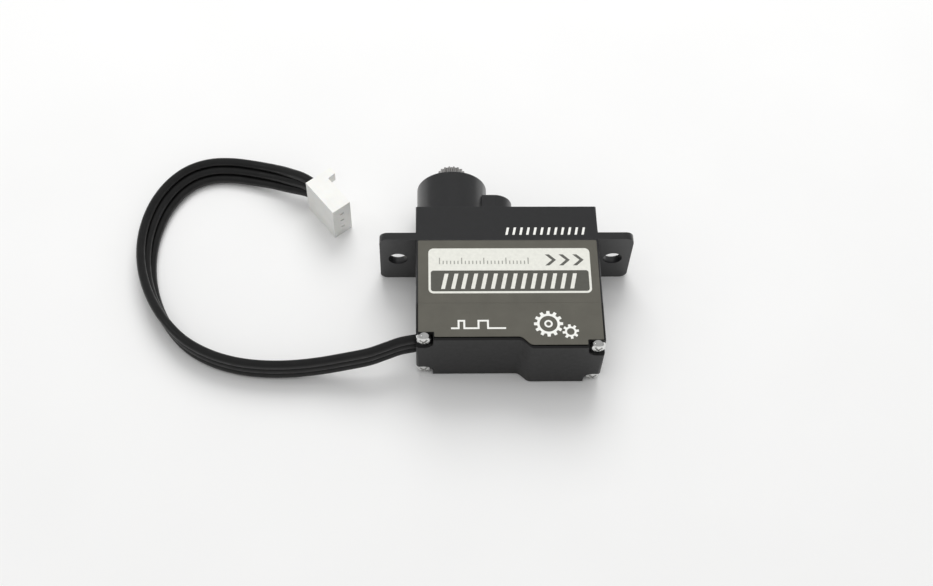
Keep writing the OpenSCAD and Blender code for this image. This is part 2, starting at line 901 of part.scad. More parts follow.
module plug_contacts() {
    color("#d9b75c")
    on_plug()
        for (k = [-1 : 1])
            translate([plug_len - 3.2, -0.3, plug_h / 2 + k * contact_pitch - 0.25])
                cube([2.2, 0.6, 0.5]);
}

top_case();
middle_case();
bottom_case();
label();
case_screws();
output_shaft();
bearing_outer_ring();
bearing_inner_ring();
bearing_balls();
bearing_cage();
lower_bush();
output_spacer();
first_gear();
second_gear();
third_gear();
fourth_gear();
first_axle();
second_axle();
first_axle_washer();
second_axle_spacer();
motor_pinion();
motor_shaft();
motor_coil();
motor_commutator();
motor_can();
motor_magnet();
motor_bush();
motor_end_cap();
motor_brushes();
motor_terminals();
pot_housing();
pot_track();
wiper_carrier();
wiper_contact();
pot_terminals();
circuit_board();
control_chip();
driver_chips();
capacitors();
resistors();
motor_wires();
inner_leads();
cable_grommet();
cable();
plug_housing();
plug_contacts();
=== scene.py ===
"""Looks of a miniature servo: case shells, sticker, screws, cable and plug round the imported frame.

Shapes are built in millimetres and scaled to metres when they are finished.
"""
import json
import math

import bmesh
import bpy
from mathutils import Matrix, Vector


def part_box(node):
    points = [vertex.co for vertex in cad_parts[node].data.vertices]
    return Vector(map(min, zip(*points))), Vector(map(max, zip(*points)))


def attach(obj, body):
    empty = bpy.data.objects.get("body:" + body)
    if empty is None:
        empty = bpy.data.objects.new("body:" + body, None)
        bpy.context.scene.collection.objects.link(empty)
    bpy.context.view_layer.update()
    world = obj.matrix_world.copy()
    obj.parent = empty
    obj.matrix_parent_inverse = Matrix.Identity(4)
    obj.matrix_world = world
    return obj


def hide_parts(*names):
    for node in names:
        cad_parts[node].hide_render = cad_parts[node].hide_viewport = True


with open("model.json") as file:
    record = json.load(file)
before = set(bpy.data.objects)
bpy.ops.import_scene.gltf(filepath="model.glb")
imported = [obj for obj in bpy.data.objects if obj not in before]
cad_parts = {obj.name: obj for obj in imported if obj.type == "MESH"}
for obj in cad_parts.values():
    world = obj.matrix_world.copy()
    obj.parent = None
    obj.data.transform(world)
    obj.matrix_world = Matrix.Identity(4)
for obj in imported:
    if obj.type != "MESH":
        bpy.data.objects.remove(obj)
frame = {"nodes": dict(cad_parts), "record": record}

MM = 0.001
scene = bpy.context.scene
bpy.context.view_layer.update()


# ---- camera -------------------------------------------------------------

CAMERA_AIM = Vector((-4.295, -1.155, 0)) * MM
CAMERA_DISTANCE = 156.87 * MM
CAMERA_YAW = math.radians(3.655)
CAMERA_TILT = math.radians(59.796)
CAMERA_ROLL = math.radians(-2.954)
CAMERA_LENS = 53.36


def make_camera():
    ahead = Vector((
        math.sin(CAMERA_YAW) * math.cos(CAMERA_TILT),
        math.cos(CAMERA_YAW) * math.cos(CAMERA_TILT),
        -math.sin(CAMERA_TILT),
    ))
    level = Vector((math.cos(CAMERA_YAW), -math.sin(CAMERA_YAW), 0))
    down = ahead.cross(level)
    right = level * math.cos(CAMERA_ROLL) + down * math.sin(CAMERA_ROLL)
    up = level * math.sin(CAMERA_ROLL) - down * math.cos(CAMERA_ROLL)
    data = bpy.data.cameras.new("camera")
    data.sensor_fit = "HORIZONTAL"
    data.sensor_width = 36
    data.lens = CAMERA_LENS
    data.clip_start = 0.005
    data.clip_end = 20
    camera = bpy.data.objects.new("camera", data)
    scene.collection.objects.link(camera)
    turned = Matrix((right, up, -ahead)).transposed().to_4x4()
    camera.matrix_world = Matrix.Translation(CAMERA_AIM - ahead * CAMERA_DISTANCE) @ turned
    scene.camera = camera


make_camera()


# ---- measures, in millimetres -------------------------------------------
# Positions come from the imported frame. The plain numbers equal the CAD's own dimensions.

def low(node):
    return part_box(node)[0] / MM


def high(node):
    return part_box(node)[1] / MM


def middle(node):
    return (low(node) + high(node)) / 2


half_w = high("middle_case").x
case_t = high("middle_case").z
mid_z = case_t / 2
y_near = low("bottom_case").y
near_step = 1
y_near_left = y_near + near_step
y_joint = low("middle_case").y
y_seam = high("middle_case").y
y_boss = high("top_case").y
boss_h = 4.9
y_top = y_boss - boss_h
half_tabs = high("top_case").x
tab_t = 0.9
tab_r = 0.9
tab_hole_x = 12
tab_hole_r = 1.05
output_x = middle("lower_bush").x
second_x = middle("second_axle").x
first_x = middle("first_axle").x
motor_x = middle("motor_can").x
boss_r = 3.95
bump_r = 2.1
bump_len = 3
wall = 0.55
deck_t = 0.8
edge_r = 0.2
step_x0 = 1.1
step_x1 = 2.15
screw_x = half_w - 0.85
screw_z = (0.85, case_t - 0.85)
notch_r = 0.98
notch_depth = 0.9
head_r = 0.85
head_h = 0.8
pillar_bore_r = 0.56
thread_bore_r = 0.5
first_axle_r = 0.3
second_axle_r = 0.4
shaft_bore_r = 1.4
motor_bore_r = 0.95
output_well_r = 3.41
second_well_r = 1.86
bearing_seat_r = 3.175
boss_mouth_r = 2.6


def head_seat(side):
    return (y_near_left if side < 0 else y_near) + notch_depth


# ---- outlines -----------------------------------------------------------

def arc(x, y, r, start, end, steps):
    """Points on a circle round x, y from one angle to the other, in degrees."""
    angles = [math.radians(start + (end - start) * i / steps) for i in range(steps + 1)]
    return [(x + r * math.cos(a), y + r * math.sin(a)) for a in angles]


def rounded(corners, steps=6):
    """An outline through corners (x, y, r), each rounded by its radius r."""
    points = []
    count = len(corners)
    for i, (x, y, r) in enumerate(corners):
        here = Vector((x, y))
        before = (Vector(corners[i - 1][:2]) - here).normalized()
        after = (Vector(corners[(i + 1) % count][:2]) - here).normalized()
        if r <= 0:
            points.append((x, y))
            continue
        half = before.angle(after) / 2
        centre = here + (before + after).normalized() * (r / math.sin(half))
        a = here + before * (r / math.tan(half)) - centre
        b = here + after * (r / math.tan(half)) - centre
        turn = math.atan2(a.x * b.y - a.y * b.x, a.dot(b))
        first = math.atan2(a.y, a.x)
        points += arc(centre.x, centre.y, r, math.degrees(first), math.degrees(first + turn), steps)
    return points


def rounded_box(x0, x1, y0, y1, r, steps=6):
    return rounded([(x0, y0, r), (x1, y0, r), (x1, y1, r), (x0, y1, r)], steps)


# ---- solids -------------------------------------------------------------

def new_object(name, bm):
    bmesh.ops.recalc_face_normals(bm, faces=bm.faces)
    mesh = bpy.data.meshes.new(name)
    bm.to_mesh(mesh)
    bm.free()
    obj = bpy.data.objects.new(name, mesh)
    scene.collection.objects.link(obj)
    return obj


def add_skin(bm, rings):
    """Adds a closed skin over rings of equal length, with a flat face at each end."""
    loops = [[bm.verts.new(p) for p in ring] for ring in rings]
    for a, b in zip(loops, loops[1:]):
        for i in range(len(a)):
            j = (i + 1) % len(a)
            bm.faces.new((a[i], a[j], b[j], b[i]))
    bm.faces.new(loops[0][::-1])
    bm.faces.new(loops[-1])


def skin(rings):
    bm = bmesh.new()
    add_skin(bm, rings)
    return bm


def plates(name, outlines, z0, z1):
    """One object of flat plates, each an outline (x, y) drawn out from z0 to z1."""
    bm = bmesh.new()
    for outline in outlines:
        add_skin(bm, [[(x, y, z) for x, y in outline] for z in (z0, z1)])
    return new_object(name, bm)


def prism(name, outline, start, end, axis="Y"):
    """A flat outline drawn out along Y (points are x, z) or along Z (points are x, y)."""
    if axis == "Y":
        rings = [[(x, s, z) for x, z in outline] for s in (start, end)]
    else:
        rings = [[(x, y, s) for x, y in outline] for s in (start, end)]
    return new_object(name, skin(rings))


def lathe(name, profile, x, z=None, steps=64):
    """A solid of revolution about the line along Y through x, z. The profile is (radius, y)."""
    z = mid_z if z is None else z
    rings = []
    for r, y in profile:
        rings.append([(x + dx, y, z + dz) for dx, dz in arc(0, 0, r, 0, 360, steps)[:-1]])
    return new_object(name, skin(rings))


def rod(x, r, y0, y1, z=None, steps=48):
    return lathe("rod", [(r, y0), (r, y1)], x, z, steps)


def block(x0, x1, y0, y1, z0, z1):
    return prism("block", [(x0, y0), (x1, y0), (x1, y1), (x0, y1)], z0, z1, "Z")


def apply_modifiers(obj):
    graph = bpy.context.evaluated_depsgraph_get()
    mesh = bpy.data.meshes.new_from_object(obj.evaluated_get(graph))
    obj.modifiers.clear()
    old = obj.data
    obj.data = mesh
    bpy.data.meshes.remove(old)


def combine(obj, other, operation):
    modifier = obj.modifiers.new("combine", "BOOLEAN")
    modifier.object = other
    modifier.operation = operation
    modifier.solver = "EXACT"
    apply_modifiers(obj)
    bpy.data.objects.remove(other)


def cut(obj, *others):
    for other in others:
        combine(obj, other, "DIFFERENCE")


def add(obj, *others):
    for other in others:
        combine(obj, other, "UNION")


def round_edges(obj, width, segments, chosen):
    """Rounds the edges for which chosen(direction, middle, angle) is true."""
    bm = bmesh.new()
    bm.from_mesh(obj.data)
    edges = []
    for e in bm.edges:
        a = e.verts[0].co
        b = e.verts[1].co
        wanted = chosen((b - a).normalized(), (a + b) / 2, e.calc_face_angle(0))
        if wanted and len(e.link_faces) == 2:
            edges.append(e)
    bmesh.ops.bevel(
        bm, geom=edges, offset=width, offset_type="OFFSET", segments=segments,
        profile=0.5, affect="EDGES", clamp_overlap=True,
    )
    bm.to_mesh(obj.data)
    bm.free()


def soften(obj, width, segments=2, angle=40):
    """Rounds every edge sharper than angle a little."""
    modifier = obj.modifiers.new("soften", "BEVEL")
    modifier.width = width
    modifier.segments = segments
    modifier.limit_method = "ANGLE"
    modifier.angle_limit = math.radians(angle)
    modifier.use_clamp_overlap = True
    apply_modifiers(obj)


SHARP_ANGLE = math.radians(38)


def piece(obj, name, material, nodes=()):
    """Scales a solid to metres, names it, sets its finish, hides the nodes it stands for and hangs it on
    the case.
    """
    obj.name = name
    obj.data.name = name
    obj.data.transform(Matrix.Scale(MM, 4))
    obj.data.materials.clear()
    obj.data.materials.append(material)
    for polygon in obj.data.polygons:
        polygon.use_smooth = True
    obj.data.set_sharp_from_angle(angle=SHARP_ANGLE)
    modifier = obj.modifiers.new("normals", "WEIGHTED_NORMAL")
    modifier.keep_sharp = True
    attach(obj, "case")
    if nodes:
        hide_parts(*nodes)
    return obj


# ---- materials ----------------------------------------------------------

# Width of the painted highlight along the case edges.
EDGE_HIGHLIGHT_MM = 0.12


class Finish:
    """A Principled material with colour, roughness and bump from noise in the piece's own space."""

    def __init__(
        self, name, colour, roughness, metallic=0.0, specular=0.5, coat=0.0, coat_roughness=0.1,
    ):
        self.material = bpy.data.materials.new(name)
        self.material.use_nodes = True
        self.nodes = self.material.node_tree.nodes
        self.links = self.material.node_tree.links
        self.shader = self.nodes["Principled BSDF"]
        self.colour = colour
        self.roughness = roughness
        self.shader.inputs["Base Color"].default_value = (*colour, 1)
        self.shader.inputs["Roughness"].default_value = roughness
        self.shader.inputs["Metallic"].default_value = metallic
        self.shader.inputs["Specular IOR Level"].default_value = specular
        self.shader.inputs["Coat Weight"].default_value = coat
        self.shader.inputs["Coat Roughness"].default_value = coat_roughness
        self.place = self.nodes.new("ShaderNodeTexCoord").outputs["Object"]

    def noise(self, per_mm, detail=3.0, stretch=(1, 1, 1)):
        mapping = self.nodes.new("ShaderNodeMapping")
        mapping.inputs["Scale"].default_value = [s * per_mm / MM for s in stretch]
        texture = self.nodes.new("ShaderNodeTexNoise")
        texture.inputs["Scale"].default_value = 1
        texture.inputs["Detail"].default_value = detail
        self.links.new(self.place, mapping.inputs["Vector"])
        self.links.new(mapping.outputs["Vector"], texture.inputs["Vector"])
        return texture.outputs["Fac"]

    def ranged(self, value, low_end, high_end, from_low=0.3, from_high=0.7):
        node = self.nodes.new("ShaderNodeMapRange")
        node.inputs["From Min"].default_value = from_low
        node.inputs["From Max"].default_value = from_high
        node.inputs["To Min"].default_value = low_end
        node.inputs["To Max"].default_value = high_end
        self.links.new(value, node.inputs["Value"])
        return node.outputs["Result"]

    def blend(self, factor, a, b):
        node = self.nodes.new("ShaderNodeMix")
        node.data_type = "RGBA"
        self.links.new(factor, node.inputs["Factor"])
        for socket, value in (("A", a), ("B", b)):
            target = [s for s in node.inputs if s.name == socket and s.type == "RGBA"][0]
            if isinstance(value, bpy.types.NodeSocket):
                self.links.new(value, target)
            else:
                target.default_value = (*value, 1)
        return [s for s in node.outputs if s.type == "RGBA"][0]

    def mottle(self, amount, per_mm, stretch=(1, 1, 1)):
        """Varies the colour by amount either way."""
        dark = [c * (1 - amount) for c in self.colour]
        light = [min(1, c * (1 + amount)) for c in self.colour]
        factor = self.ranged(self.noise(per_mm, 4, stretch), 0, 1)
        self.tone = self.blend(factor, dark, light)
        self.links.new(self.tone, self.shader.inputs["Base Color"])
        return self

    def vary_gloss(self, amount, per_mm, stretch=(1, 1, 1)):
        least = max(0.02, self.roughness - amount)
        most = min(1, self.roughness + amount)
        value = self.ranged(self.noise(per_mm, 3, stretch), least, most)
        self.links.new(value, self.shader.inputs["Roughness"])
        return self

    def bump(self, height_mm, per_mm, stretch=(1, 1, 1), detail=3.0):
        node = self.nodes.new("ShaderNodeBump")
        node.inputs["Distance"].default_value = height_mm * MM
        self.links.new(self.noise(per_mm, detail, stretch), node.inputs["Height"])
        before = self.shader.inputs["Normal"]
        if before.is_linked:
            self.links.new(before.links[0].from_socket, node.inputs["Normal"])
        self.links.new(node.outputs["Normal"], before)
        return self

    def painted_edge_highlight(self, colour):
        """Paints a highlight as a lighter, narrow, broken line along the edges."""
        bevel = self.nodes.new("ShaderNodeBevel")
        bevel.samples = 4
        bevel.inputs["Radius"].default_value = EDGE_HIGHLIGHT_MM * MM
        geometry = self.nodes.new("ShaderNodeNewGeometry")
        dot = self.nodes.new("ShaderNodeVectorMath")
        dot.operation = "DOT_PRODUCT"
        self.links.new(bevel.outputs["Normal"], dot.inputs[0])
        self.links.new(geometry.outputs["Normal"], dot.inputs[1])
        edge = self.ranged(dot.outputs["Value"], 1, 0, 0.82, 0.99)
        broken = self.ranged(self.noise(2.5, 4), 0.15, 1, 0.4, 0.65)
        times = self.nodes.new("ShaderNodeMath")
        times.operation = "MULTIPLY"
        self.links.new(edge, times.inputs[0])
        self.links.new(broken, times.inputs[1])
        highlit = self.blend(times.outputs["Value"], self.tone, colour)
        self.links.new(highlit, self.shader.inputs["Base Color"])
        return self


def anodised(name, colour, specular):
    made = Finish(name, colour, 0.3, specular=specular)
    made.mottle(0.08, 1.5).vary_gloss(0.025, 1.5)
    # The lighter colour along the edges is a painted highlight.
    made.bump(0.002, 9).painted_edge_highlight((0.035, 0.035, 0.037))
    return made.material


def machined(name, colour, roughness, per_mm=12, stretch=(1, 0.1, 1)):
    made = Finish(name, colour, roughness, metallic=1.0)
    made.mottle(0.12, per_mm / 4, stretch).vary_gloss(0.08, per_mm / 2, stretch)
    made.bump(0.002, per_mm, stretch)
    return made.material


def moulded(name, colour, roughness, specular=0.5):
    made = Finish(name, colour, roughness, specular=specular)
    made.mottle(0.06, 1.2).vary_gloss(0.04, 2)
    made.bump(0.003, 11)
    return made.material


def printed(name, colour, roughness):
    made = Finish(name, colour, roughness, specular=0.4)
    made.mottle(0.05, 2.5).bump(0.001, 14)
    return made.material


def wound(name, colour):
    """Lacquered wire laid side by side round the axis along Y."""
    made = Finish(name, colour, 0.3, metallic=1.0, coat=0.6)
    made.mottle(0.2, 7, (0.12, 1, 0.12)).bump(0.012, 9, (0.05, 1, 0.05))
    return made.material


def make_materials():
    film = Finish(
        "sticker_film", (0.125, 0.12, 0.1), 0.5, metallic=0.3, specular=0.4, coat=0.15, coat_roughness=0.3,
    )
    film.mottle(0.06, 0.5).vary_gloss(0.03, 0.8)
    film.bump(0.0012, 0.9, detail=4).bump(0.001, 12, (0.06, 1, 1))
    rubber = Finish("cable_rubber", (0.006, 0.006, 0.006), 0.42, specular=0.4)
    rubber.mottle(0.25, 0.8).vary_gloss(0.1, 1.2).bump(0.006, 3, detail=4)
    nylon = Finish("plug_nylon", (0.88, 0.88, 0.85), 0.42, specular=0.4)
    nylon.mottle(0.03, 0.6).vary_gloss(0.05, 1.5).bump(0.003, 8)
    nylon.shader.inputs["Subsurface Weight"].default_value = 0.25
    nylon.shader.inputs["Subsurface Radius"].default_value = (0.0006, 0.0005, 0.0004)
    return {
        "anodised_black": anodised("anodised_black", (0.0105, 0.0107, 0.0115), 0.75),
        "case_black": moulded("case_black", (0.007, 0.0068, 0.007), 0.4, 0.35),
        "label_film": film.material,
        "nickel_steel": machined("nickel_steel", (0.72, 0.72, 0.71), 0.16, 6, (1, 1, 1)),
        "titanium": machined("titanium", (0.5, 0.49, 0.48), 0.28),
        "bearing_steel": machined("bearing_steel", (0.62, 0.62, 0.63), 0.22, 14, (0.1, 1, 0.1)),
        "polished_steel": machined("polished_steel", (0.8, 0.8, 0.82), 0.1, 5, (1, 1, 1)),
        "cage_brass": machined("cage_brass", (0.62, 0.47, 0.2), 0.35),
        "bronze": machined("bronze", (0.5, 0.3, 0.13), 0.45, 20, (1, 1, 1)),
        "brass_gear": machined("brass_gear", (0.7, 0.54, 0.25), 0.28),
        "copper_winding": wound("copper_winding", (0.6, 0.26, 0.1)),
        "can_steel": machined("can_steel", (0.6, 0.6, 0.6), 0.3, 8, (0.1, 1, 0.1)),
        "magnet": machined("magnet", (0.16, 0.16, 0.17), 0.5, 10, (1, 1, 1)),
        "cap_plastic": moulded("cap_plastic", (0.015, 0.015, 0.017), 0.5),
        "contact_metal": machined("contact_metal", (0.8, 0.64, 0.33), 0.3),
        "pot_blue": moulded("pot_blue", (0.03, 0.1, 0.26), 0.45),
        "track_carbon": moulded("track_carbon", (0.02, 0.02, 0.02), 0.7),
        "nylon_cream": moulded("nylon_cream", (0.78, 0.75, 0.66), 0.5),
        "board_green": moulded("board_green", (0.015, 0.14, 0.06), 0.35),
        "chip_black": moulded("chip_black", (0.015, 0.015, 0.017), 0.55),
        "ceramic_tan": moulded("ceramic_tan", (0.5, 0.36, 0.2), 0.5),
        "lead_red": moulded("lead_red", (0.4, 0.02, 0.02), 0.45),
        "cable_black": rubber.material,
        "plug_white": nylon.material,
    }


materials = make_materials()
print_light = printed("print_light", (0.76, 0.76, 0.7), 0.5)
print_white = printed("print_white", (0.86, 0.86, 0.82), 0.5)
print_grey = printed("print_grey", (0.33, 0.33, 0.30), 0.5)
print_dark = printed("print_dark", (0.11, 0.11, 0.098), 0.5)
print_band = printed("print_band", (0.085, 0.085, 0.072), 0.42)


# ---- cable --------------------------------------------------------------

ROUTE = [
    (-0.01, -0.0097, 0.004), (-0.0117, -0.01, 0.0039), (-0.0134, -0.0105, 0.0036),
    (-0.0152, -0.01095, 0.0032), (-0.0178, -0.0112, 0.0026), (-0.0206, -0.0114, 0.002),
    (-0.0236, -0.01155, 0.0017), (-0.0267, -0.01145, 0.00156), (-0.0296, -0.011, 0.00153),
    (-0.0325, -0.01, 0.00153), (-0.0352, -0.0083, 0.00153), (-0.0375, -0.0057, 0.00152),
    (-0.0391, -0.0028, 0.00151), (-0.0401, 0.0003, 0.00146), (-0.0405, 0.0035, 0.00141),
    (-0.0403, 0.0066, 0.00135), (-0.0395, 0.0096, 0.0013), (-0.0381, 0.01215, 0.00126),
    (-0.0363, 0.0139, 0.00124), (-0.0341, 0.0148, 0.00124), (-0.0316, 0.0149, 0.00126),
    (-0.029, 0.0144, 0.00142), (-0.0266, 0.0136, 0.00185), (-0.0247, 0.01275, 0.0023),
    (-0.023, 0.012, 0.0026), (-0.0216, 0.01115, 0.0026),
]
CABLE_LEAN = math.radians(50)
CABLE_FAN = 0.3
PLUG_HEADING = math.radians(-52)
WIRE_R = 0.5
WIRE_PITCH = 0.98
STEPS_PER_SPAN = 6


def route_point(s):
    """Catmull-Rom point of the route, in millimetres, at s spans from its start."""
    last = len(ROUTE) - 1
    i = min(int(s), last - 1)
    t = s - i
    p0, p1, p2, p3 = (Vector(ROUTE[max(0, min(last, i + k))]) / MM for k in (-1, 0, 1, 2))
    return 0.5 * (
        2 * p1 + (p2 - p0) * t + (2 * p0 - 5 * p1 + 4 * p2 - p3) * t * t
        + (3 * p1 - p0 - 3 * p2 + p3) * t ** 3
    )


def route_ahead(s, last):
    """Direction of the route, square to the exit and to the plug at its two ends."""
    if s <= 0:
        return Vector((-1, 0, 0))
    if s >= last:
        return Vector((math.cos(PLUG_HEADING), math.sin(PLUG_HEADING), 0))
    return (route_point(s + 0.1) - route_point(s - 0.1)).normalized()


def eased(a, b, x):
    """Rises from 0 at a to 1 at b, easing in and out."""
    t = min(1, max(0, (x - a) / (b - a)))
    return t * t * (3 - 2 * t)


def ribbon_outline():
    """Three round wires moulded side by side, as points (across the ribbon, through it)."""
    half = math.degrees(math.acos(WIRE_PITCH / 2 / WIRE_R))
    points = arc(WIRE_PITCH, 0, WIRE_R, -180 + half, 180 - half, 24)
    points += arc(0, 0, WIRE_R, half, 180 - half, 8)[1:]
    points += arc(-WIRE_PITCH, 0, WIRE_R, half, 360 - half, 24)[1:]
    points += arc(0, 0, WIRE_R, 180 + half, 360 - half, 8)[1:-1]
    return points


def make_cable():
    last = len(ROUTE) - 1
    count = last * STEPS_PER_SPAN
    outline = ribbon_outline()
    rings, path = [], []
    for i in range(count + 1):
        s = i / STEPS_PER_SPAN
        centre = route_point(s)
        ahead = route_ahead(s, last)
        across = Vector((0, 0, 1)).cross(ahead).normalized()
        share = i / count
        lean = CABLE_LEAN * eased(0.36, 0.68, share) * (1 - eased(0.82, 1, share))
        fan = 1 + CABLE_FAN * eased(0.86, 1, share)
        up = math.cos(lean) * ahead.cross(across) + math.sin(lean) * across
        side = up.cross(ahead)
        rings.append([centre + up * a * fan + side * b for a, b in outline])
        path.append(centre * MM)
    return new_object("cable", skin(rings)), path


cable, cable_path = make_cable()
cable = piece(cable, "servo_cable", materials["cable_black"], ["cable"])


# ---- plug ---------------------------------------------------------------

PLUG_LEN = 5.2
PLUG_T = 2.4
PLUG_H = 5.2
EAR_LEN = 0.95
EAR_H = 1.3
EAR_PROUD = 1.1
CONTACT_PITCH = 1.25


def plug_frame():
    """The plug's own frame, in millimetres: +X towards its open end, z = 0 on the floor."""
    rear = Vector(ROUTE[-1]) / MM
    return Matrix.Translation((rear.x, rear.y, 0)) @ Matrix.Rotation(PLUG_HEADING, 4, "Z")


def make_plug():
    body = block(0, PLUG_LEN, -PLUG_T / 2, PLUG_T / 2, 0, PLUG_H)
    add(body, block(0.5, 3.3, 0, PLUG_T / 2 + 0.3, PLUG_H / 2 - 1, PLUG_H / 2 + 1))
    ear_y = PLUG_T / 2 + EAR_PROUD
    ear = rounded([(0, 0, 0), (EAR_LEN + 0.25, 0, 0), (EAR_LEN, ear_y, 0.2), (0, ear_y, 0.15)])
    for z in (0, PLUG_H - EAR_H):
        add(body, prism("ear", ear, z + 0.001, z + EAR_H - 0.001, "Z"))
    for k in (-1, 0, 1):
        z = PLUG_H / 2 + k * CONTACT_PITCH
        cut(body, block(PLUG_LEN - 3.2, PLUG_LEN - 0.5, -0.55, 0.55, z - 0.4, z + 0.4))
        cut(body, block(PLUG_LEN - 0.6, PLUG_LEN + 1, -0.22, 0.22, z - 0.15, z + 0.15))
    soften(body, 0.1, 3)
    body.data.transform(plug_frame())
    return piece(body, "plug_body", materials["plug_white"], ["plug_housing"])


plug = make_plug()


# ---- case ---------------------------------------------------------------

def cavity(y0, y1, bite):
    """Cutter for the hollow inside the walls, with its corners bitten off round the screw pillars."""
    z_in = case_t - wall
    reach = math.sqrt(bite ** 2 - (z_in - screw_z[1]) ** 2)
    turn = math.degrees(math.atan2(z_in - screw_z[1], reach))
    points = []
    for sx, sz, first in ((1, 1, -90), (-1, 1, 0), (-1, -1, 90), (1, -1, 180)):
        cx = sx * screw_x
        cz = mid_z + sz * (screw_z[1] - mid_z)
        start = first + turn
        points += arc(cx, cz, bite, start, start - 90 - 2 * turn, 8)
    return prism("cavity", points, y0, y1)


def label_outline(gap=0):
    """The sticker's outline, cut back round the screw heads. A gap widens it for the recess it lies in."""
    grow = 0.03 if gap else 0
    side = half_w - 0.24 + grow
    inner = screw_x - notch_r - 0.1 + grow
    left = y_near_left + 0.35 - gap
    right = y_near + 0.35 - gap
    return rounded([
        (-side, y_seam - 0.12 + grow, 0.15), (-side, head_seat(-1) + 0.05 - grow, 0.1),
        (-inner, head_seat(-1) + 0.05 - grow, 0.1), (-inner, left, 0.1),
        (step_x0, left, 0.9), (step_x1 - 0.05, right, 0.9),
        (inner, right, 0.1), (inner, head_seat(1) + 0.05 - grow, 0.1),
        (side, head_seat(1) + 0.05 - grow, 0.1), (side, y_seam - 0.12 + grow, 0.15),
    ], 5)


def label_recess():
    return prism("recess", label_outline(0.13), high("label").z - 0.3, case_t + 1, "Z")


def is_long_edge(direction, centre, angle):
    """Edges along Y at the corners of the case's section."""
    return abs(direction.y) > 0.99 and angle > 1


def make_bottom_case():
    outline = rounded([
        (-half_w, y_joint, 0), (-half_w, y_near_left, 0.35), (step_x0, y_near_left, 0.9),
        (step_x1, y_near, 0.9), (half_w, y_near, 0.35), (half_w, y_joint, 0),
    ], 8)
    shell = prism("bottom", outline, 0, case_t, "Z")
    round_edges(shell, edge_r, 4, lambda d, m, a: a > 0.6 and abs(m.y - y_joint) > 0.01)
    for side in (-1, 1):
        for sz in (-1, 1):
            x = side * screw_x
            z = mid_z + sz * (screw_z[1] - mid_z)
            corner = rounded([
                (x - side * notch_r, z - sz * notch_r, notch_r * 0.999),
                (x + side * 3, z - sz * notch_r, 0), (x + side * 3, z + sz * 3, 0),
                (x - side * notch_r, z + sz * 3, 0),
            ], 10)
            cut(shell, prism("notch", corner, y_near - 1, head_seat(side)))
            cut(shell, rod(x, pillar_bore_r, y_near - 2, y_joint + 1, z, 24))
    cut(shell, cavity(y_near_left + 0.75, y_near_left + 1.6, 1.45))
    cut(shell, cavity(y_near_left + 1.5, y_joint + 1, 0.8))
    cut(shell, block(step_x1 + 0.5, screw_x - 1.5, y_near + 0.75, y_near + 2, wall, case_t - wall))
    near = low("cable_grommet")
    far = high("cable_grommet")
    cut(shell, block(-half_w - 1, -half_w + 1, near.y, far.y, near.z, far.z))
    cut(shell, label_recess())
    soften(shell, 0.09, 3)
    return piece(shell, "bottom_case_shell", materials["case_black"], ["bottom_case"])


def make_middle_case():
    shell = block(-half_w, half_w, y_joint, y_seam, 0, case_t)
    round_edges(shell, edge_r, 4, is_long_edge)
    cut(shell, cavity(y_joint - 1, y_seam - deck_t, 0.8))
    for side in (-1, 1):
        for z in screw_z:
            cut(shell, rod(side * screw_x, pillar_bore_r, y_joint - 2, y_seam + 1, z, 24))
    cut(shell, rod(output_x, shaft_bore_r, y_seam - 2, y_seam + 1))
    cut(shell, rod(motor_x, motor_bore_r, y_seam - 2, y_seam + 1))
    cut(shell, rod(first_x, first_axle_r, y_seam - 0.7, y_seam + 1, steps=24))
    cut(shell, rod(second_x, second_axle_r, y_seam - 0.7, y_seam + 1, steps=24))
    cut(shell, label_recess())
    soften(shell, 0.05, 2)
    return piece(shell, "middle_case_shell", materials["anodised_black"], ["middle_case"])


def make_top_case():
    rear_of_tabs = y_seam + tab_t
    outline = [
        (-half_tabs, y_seam), (half_tabs, y_seam), (half_tabs, rear_of_tabs), (half_w, rear_of_tabs),
        (half_w, y_top), (-half_w, y_top), (-half_w, rear_of_tabs), (-half_tabs, rear_of_tabs),
    ]
    shell = prism("top", outline, 0, case_t, "Z")
    round_edges(shell, tab_r, 8, lambda d, m, a: is_long_edge(d, m, a) and abs(m.x) > half_w + 1)
    round_edges(shell, edge_r, 4, lambda d, m, a: is_long_edge(d, m, a) and abs(abs(m.x) - half_w) < 0.01)
    rim = 0.2
    y_root = y_top - 0.3
    boss = [(boss_r, y_root)] + [
        (boss_r - rim + rim * math.cos(a), y_boss - rim + rim * math.sin(a))
        for a in (math.radians(15 * i) for i in range(7))
    ]
    add(shell, lathe("boss", boss, output_x, steps=96))
    bump = arc(second_x, mid_z, bump_r, -90, 90, 24)
    bump += [(output_x, mid_z + bump_r), (output_x, mid_z - bump_r)]
    bump_end = y_top + bump_len
    knob = prism("bump", bump, y_root, bump_end)
    round_edges(knob, 0.25, 4, lambda d, m, a: a > 0.6 and m.y > bump_end - 0.01 and m.x > output_x + 0.1)
    add(shell, knob)
    y_roof = y_top - 0.6
    cut(shell, cavity(y_seam - 1, y_roof, 0.8))
    cut(shell, rod(output_x, output_well_r, y_roof - 1, y_top + 0.6))
    cut(shell, rod(second_x, second_well_r, y_roof - 1, y_top + 0.6))
    cut(shell, rod(output_x, bearing_seat_r, y_top + 0.5, high("bearing_outer_ring").y, steps=64))
    cut(shell, rod(output_x, boss_mouth_r, y_boss - 1, y_boss + 1, steps=64))
    cut(shell, rod(first_x, first_axle_r, y_roof - 1, y_roof + 0.4, steps=24))
    cut(shell, rod(second_x, second_axle_r, y_top + 0.5, high("second_axle").y, steps=24))
    for side in (-1, 1):
        for z in screw_z:
            cut(shell, rod(side * screw_x, thread_bore_r, y_seam - 1, y_seam + 2.6, z, 24))
        cut(shell, rod(side * tab_hole_x, tab_hole_r, y_seam - 1, rear_of_tabs + 1))
    soften(shell, 0.07, 2)
    return piece(shell, "top_case_shell", materials["anodised_black"], ["top_case"])


